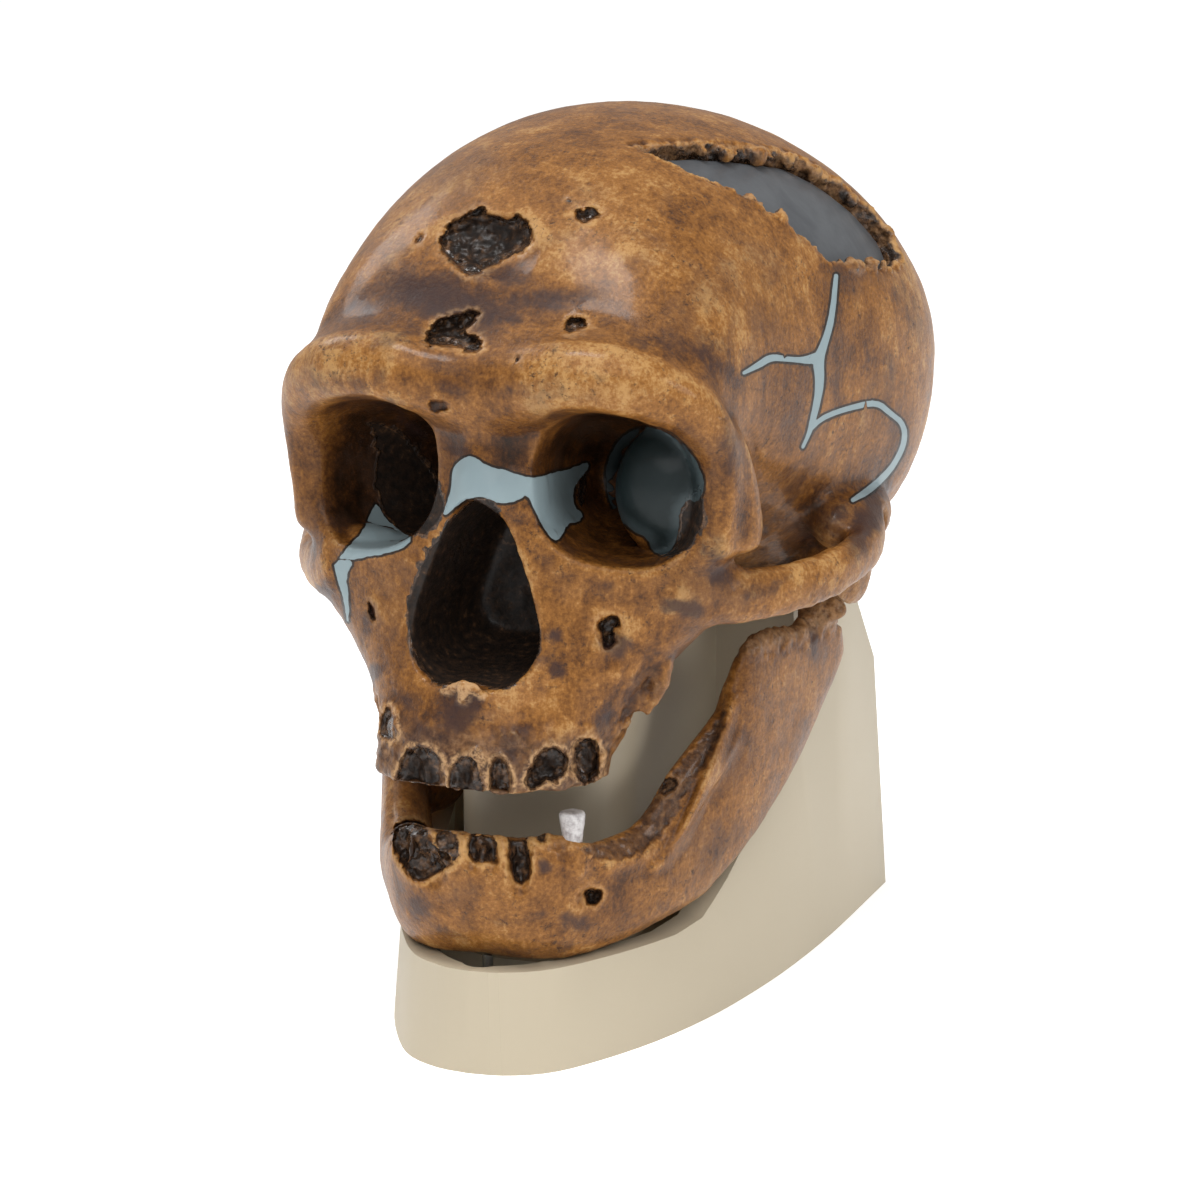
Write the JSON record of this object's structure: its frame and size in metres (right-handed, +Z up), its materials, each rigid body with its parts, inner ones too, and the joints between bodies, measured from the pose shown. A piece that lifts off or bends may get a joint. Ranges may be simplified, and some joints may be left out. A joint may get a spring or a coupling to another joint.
{
  "type": "fossil skull museum model",
  "caption": "Life-size museum model of a fossil neanderthal skull, cranium and lower jaw with grey repairs, resting on its own beige plinth.",
  "frame": {"origin": "centre of the plinth's flat underside", "axes": "+Z up, -Y the way the face looks, +X the skull's own left"},
  "size_m": [0.159, 0.2224, 0.2359],
  "materials": {
    "stained_bone": "satin varnish",
    "plinth_beige": "matte",
    "grey_filler": "satin",
    "tooth_enamel": "satin",
    "pin_steel": "brushed"
  },
  "bodies": {
    "root": {"cranium": "stained_bone", "mandible": "stained_bone", "tooth": "tooth_enamel", "vault_filler": "grey_filler", "nasal_filler": "grey_filler", "left_orbit_filler": "grey_filler", "right_orbit_filler": "grey_filler", "jaw_pin_front": "pin_steel", "jaw_pin_left": "pin_steel", "jaw_pin_right": "pin_steel", "plinth": "plinth_beige"}
  },
  "joints": []
}
